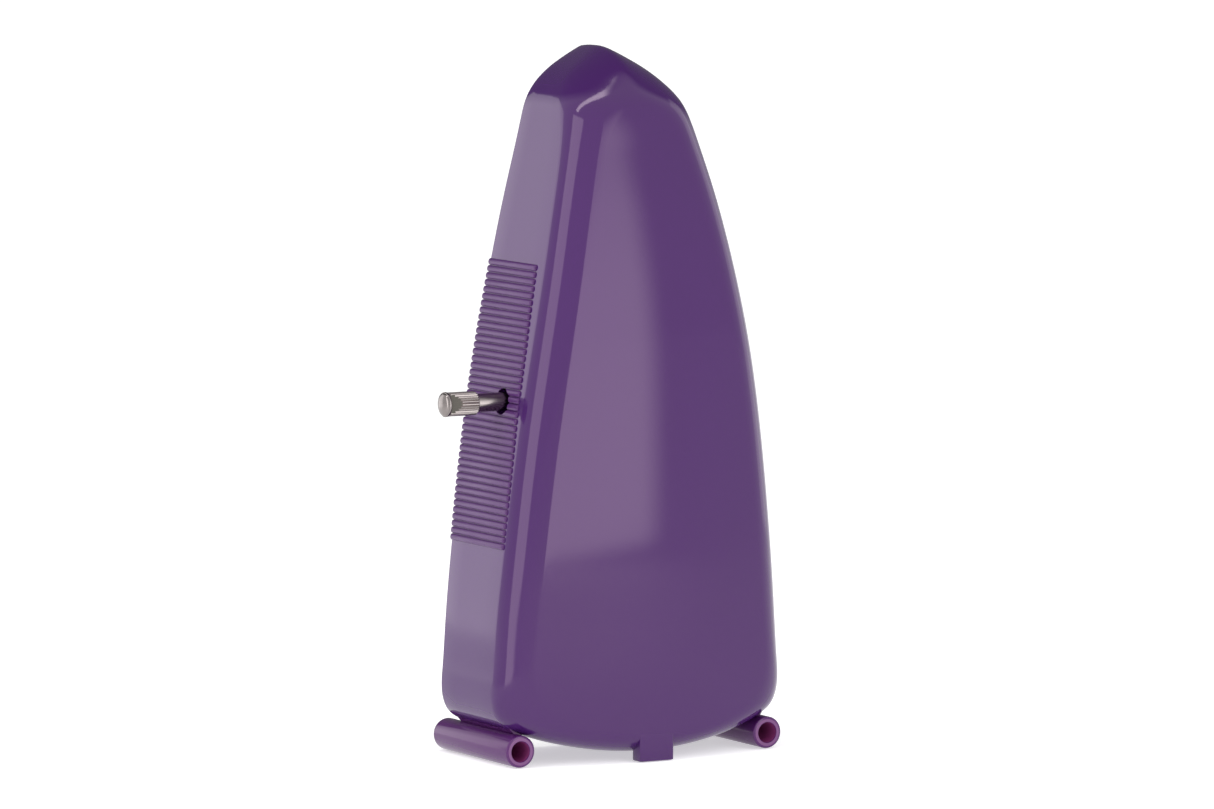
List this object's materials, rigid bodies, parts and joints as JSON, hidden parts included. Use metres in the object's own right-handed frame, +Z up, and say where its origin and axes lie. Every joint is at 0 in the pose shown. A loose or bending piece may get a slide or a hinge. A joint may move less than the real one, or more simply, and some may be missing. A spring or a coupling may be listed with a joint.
{
  "type": "metronome",
  "caption": "Small wind-up pendulum metronome with a bowed plastic case, ribbed side grips, tubular feet, winding key, gear train and a sliding tempo weight.",
  "frame": {"origin": "on the ground, at the middle of the underside of the small block foot at the rear, midway between the two tubular feet", "axes": "+Z up; the front with the pendulum faces -Y and the back +Y; the winding key is on the +X side"},
  "size_m": [0.0825, 0.0422, 0.16],
  "materials": {
    "case_plastic": "glossy moulded, purple",
    "panel_plastic": "fine satin texture, black",
    "scale_metal": "satin, printed",
    "nickel": "bright nickel plate",
    "steel": "bright",
    "brass": "satin",
    "lead_alloy": "dull cast"
  },
  "bodies": {
    "case": {"rear_case": "case_plastic", "foot_tube_right": "case_plastic", "foot_tube_left": "case_plastic", "front_panel": "panel_plastic", "tempo_scale": "scale_metal", "rod_catch": "steel", "panel_screw_top": "steel", "panel_screw_right": "steel", "panel_screw_left": "steel", "frame_plate_right": "brass", "frame_plate_left": "brass", "pillar_front_lower": "steel", "pillar_rear_lower": "steel", "pillar_front_upper": "steel", "pillar_rear_upper": "steel", "pillar_screw_front_lower": "steel", "pillar_screw_rear_lower": "steel", "pillar_screw_front_upper": "steel", "pillar_screw_rear_upper": "steel", "front_bridge": "brass", "rear_bridge": "brass", "movement_screw_right": "steel", "movement_screw_left": "steel", "click_screw": "steel", "click_spring": "steel", "spring_screw": "steel"},
    "winding": {"winding_key": "nickel", "winding_arbor": "steel", "ratchet_wheel": "steel"},
    "click": {"click": "steel"},
    "barrel": {"spring_barrel": "brass", "barrel_cap": "brass", "mainspring": "steel"},
    "second": {"second_arbor": "steel", "second_wheel": "brass"},
    "escape": {"escape_arbor": "steel", "escape_wheel": "brass"},
    "pendulum": {"pendulum_arbor": "steel", "entry_pallet": "steel", "exit_pallet": "steel", "rod_hub": "nickel", "hub_screw": "steel", "pendulum_rod": "nickel", "bob_arm": "steel", "pendulum_bob": "lead_alloy", "bob_screw": "steel"},
    "weight": {"tempo_weight": "nickel", "weight_spring": "steel"}
  },
  "joints": [
    {"name": "key_winding", "type": "hinge", "parent": "case", "child": "winding", "pos_m": [0, -0.01555, 0.0813], "axis": [-1, 0, 0], "range_deg": [0, 720]},
    {"name": "click_rock", "type": "hinge", "parent": "case", "child": "click", "pos_m": [0.0147, -0.02235, 0.0881], "axis": [1, 0, 0], "range_deg": [-8, 0]},
    {"name": "barrel_turn", "type": "hinge", "parent": "case", "child": "barrel", "pos_m": [0, -0.01555, 0.0813], "axis": [-1, 0, 0], "continuous": true},
    {"name": "second_turn", "type": "hinge", "parent": "case", "child": "second", "pos_m": [0, -0.01555, 0.0669], "axis": [-1, 0, 0], "continuous": true},
    {"name": "escape_turn", "type": "hinge", "parent": "case", "child": "escape", "pos_m": [0, -0.01555, 0.0571], "axis": [-1, 0, 0], "continuous": true},
    {"name": "pendulum_swing", "type": "hinge", "parent": "case", "child": "pendulum", "pos_m": [0, -0.01555, 0.0591], "axis": [0, -1, 0], "range_deg": [-20, 20]},
    {"name": "weight_slide", "type": "slide", "parent": "pendulum", "child": "weight", "axis": [0, 0, 1], "range_m": [-0.033, 0.03]}
  ],
  "couplings": [
    {"joint": "second_turn", "follows": "barrel_turn", "ratio": -5},
    {"joint": "escape_turn", "follows": "barrel_turn", "ratio": 30}
  ]
}
